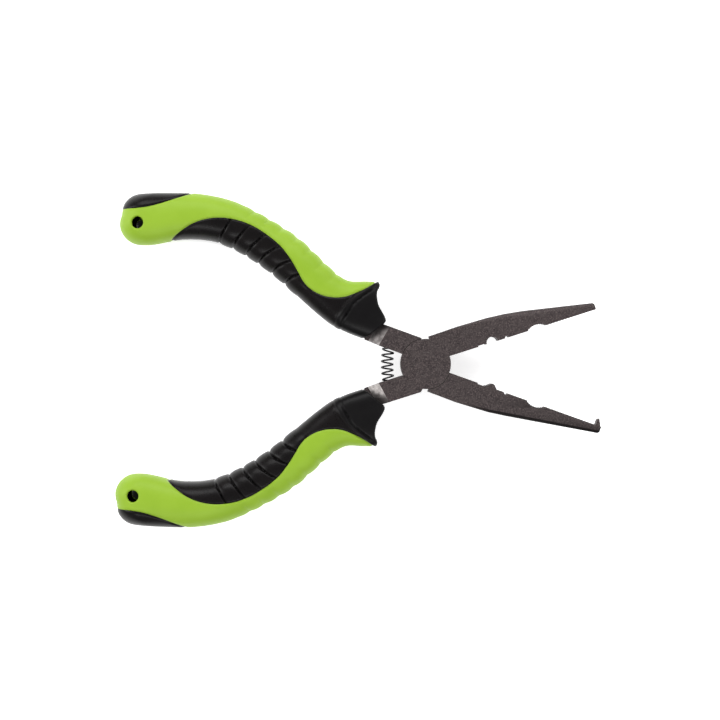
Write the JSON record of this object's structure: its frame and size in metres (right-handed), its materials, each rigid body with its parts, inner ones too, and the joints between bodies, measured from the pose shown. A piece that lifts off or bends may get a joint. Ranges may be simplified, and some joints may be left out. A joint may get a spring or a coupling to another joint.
{
  "type": "fishing pliers",
  "caption": "Long-nose fishing pliers: half-lap joint, hooked jaw tip, crimping notches, return spring between the arms and two-colour moulded grips with lanyard holes.",
  "frame": {"origin": "on the pivot axis, at the lower face of the lap joint", "axes": "+X from the pivot between the jaws towards their tips, +Y towards the plain jaw's side, +Z along the pivot axis, up through the joint"},
  "size_m": [0.1549, 0.1069, 0.0136],
  "materials": {
    "coated_steel": "bead-blasted steel with a dark grey-brown matte coating",
    "spring_wire": "black oxide spring wire",
    "lime_shell": "satin lime green moulded plastic",
    "black_core": "smooth satin black moulded plastic",
    "black_rubber": "soft matte black grip rubber"
  },
  "bodies": {
    "plain_half": {"plain_jaw_half": "coated_steel", "pivot_rivet": "coated_steel", "return_spring": "spring_wire", "lower_grip_core": "black_core", "lower_grip_shell": "lime_shell", "lower_finger_inlay": "black_rubber", "lower_tail_inlay": "black_rubber"},
    "hook_half": {"hook_jaw_half": "coated_steel", "upper_grip_core": "black_core", "upper_grip_shell": "lime_shell", "upper_finger_inlay": "black_rubber", "upper_tail_inlay": "black_rubber"}
  },
  "joints": [
    {"name": "jaw_pivot", "type": "hinge", "parent": "plain_half", "child": "hook_half", "pos_m": [0, 0, 0.0042], "axis": [0, 0, 1], "range_deg": [-5, 37.2], "stiffness_Nm_per_rad": 0.2, "deforming": ["return_spring"]}
  ]
}
